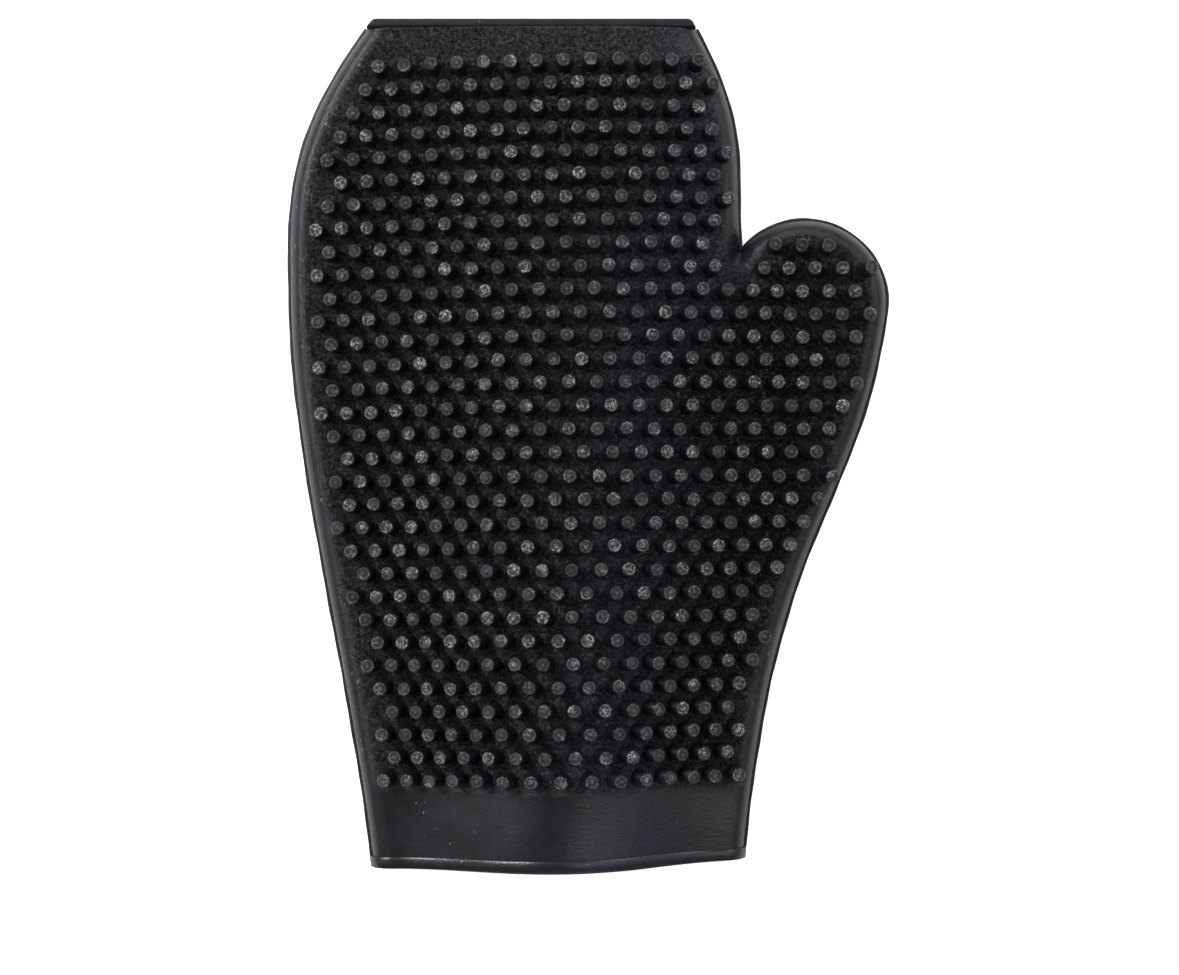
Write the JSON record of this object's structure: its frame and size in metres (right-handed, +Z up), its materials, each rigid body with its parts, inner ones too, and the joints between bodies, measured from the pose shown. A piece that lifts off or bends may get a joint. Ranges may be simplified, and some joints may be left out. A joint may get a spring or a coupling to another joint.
{
  "type": "rubber grooming mitt",
  "caption": "Hollow black rubber curry mitt with a thumb, rows of soft pins on the palm and low nubs on the back, open at the cuff and closed at the fingertips.",
  "frame": {"origin": "under the middle of the mitt's bounding box, on the plane that the back nubs rest on", "axes": "+Z up out of the palm with the pins, +Y from the cuff to the fingertips, +X towards the thumb"},
  "size_m": [0.1681, 0.2361, 0.0351],
  "materials": {
    "shell": "matt black rubber with a faint sheen",
    "pins": "matt black rubber, greyed and scuffed at the tips"
  },
  "bodies": {
    "root": {"palm_panel": "shell", "back_panel": "shell", "parting_ridge_left": "shell", "parting_ridge_right": "shell", "fingertip_band": "shell", "cuff_bead": "shell", "pin_row_01": "pins", "pin_row_02": "pins", "pin_row_03": "pins", "pin_row_04": "pins", "pin_row_05": "pins", "pin_row_06": "pins", "pin_row_07": "pins", "pin_row_08": "pins", "pin_row_09": "pins", "pin_row_10": "pins", "pin_row_11": "pins", "pin_row_12": "pins", "pin_row_13": "pins", "pin_row_14": "pins", "pin_row_15": "pins", "pin_row_16": "pins", "pin_row_17": "pins", "pin_row_18": "pins", "pin_row_19": "pins", "pin_row_20": "pins", "pin_row_21": "pins", "pin_row_22": "pins", "pin_row_23": "pins", "pin_row_24": "pins", "pin_row_25": "pins", "pin_row_26": "pins", "pin_row_27": "pins", "pin_row_28": "pins", "pin_row_29": "pins", "pin_row_30": "pins", "pin_row_31": "pins", "pin_row_32": "pins", "back_nubs_01": "shell", "back_nubs_02": "shell", "back_nubs_03": "shell", "back_nubs_04": "shell", "back_nubs_05": "shell", "back_nubs_06": "shell", "back_nubs_07": "shell", "back_nubs_08": "shell", "back_nubs_09": "shell"}
  },
  "joints": []
}
